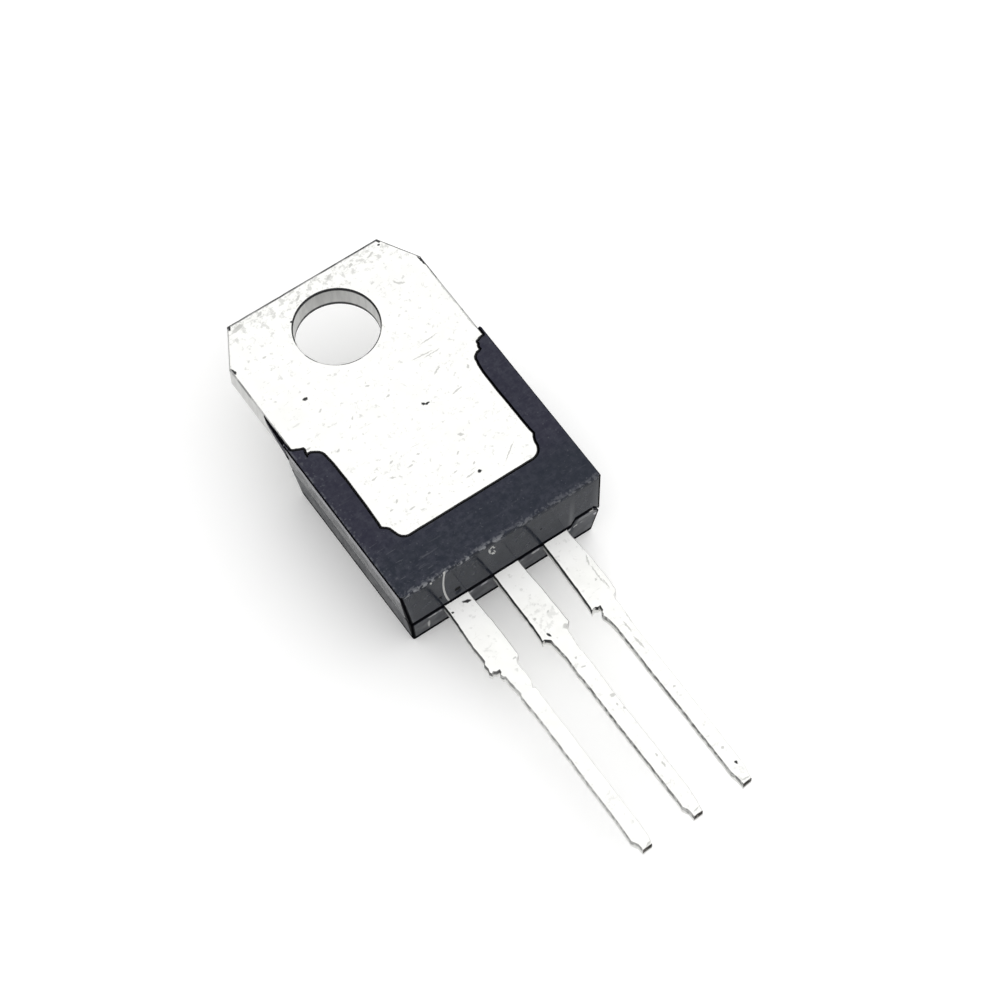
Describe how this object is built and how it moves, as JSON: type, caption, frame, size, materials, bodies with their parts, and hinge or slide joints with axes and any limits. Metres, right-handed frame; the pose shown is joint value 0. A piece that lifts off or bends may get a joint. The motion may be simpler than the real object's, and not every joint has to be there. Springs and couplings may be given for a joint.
{
  "type": "triac",
  "caption": "Plastic-moulded power switch with straight leads and a drilled metal tab that bolts to a heat sink.",
  "frame": {"origin": "centre of the tab's mounting hole, on the metal back face", "axes": "+Z out of the metal back face that bolts to a heat sink, +Y to the top edge of the tab, leads along -Y, +X to the first main terminal lead"},
  "size_m": [0.0102, 0.0293, 0.0045],
  "materials": {
    "tinned_metal": "matte tin plate over copper, lightly scratched",
    "silicon": "dark grey silicon, inside",
    "solder": "dull soft solder, inside",
    "bond_wire": "drawn aluminium wire, inside",
    "epoxy": "satin charcoal moulding compound"
  },
  "bodies": {
    "root": {"header": "tinned_metal", "lead_mt2": "tinned_metal", "lead_mt1": "tinned_metal", "lead_gate": "tinned_metal", "chip": "silicon", "chip_solder": "solder", "wire_mt1_a": "bond_wire", "wire_mt1_b": "bond_wire", "wire_gate": "bond_wire", "moulding": "epoxy"}
  },
  "joints": []
}
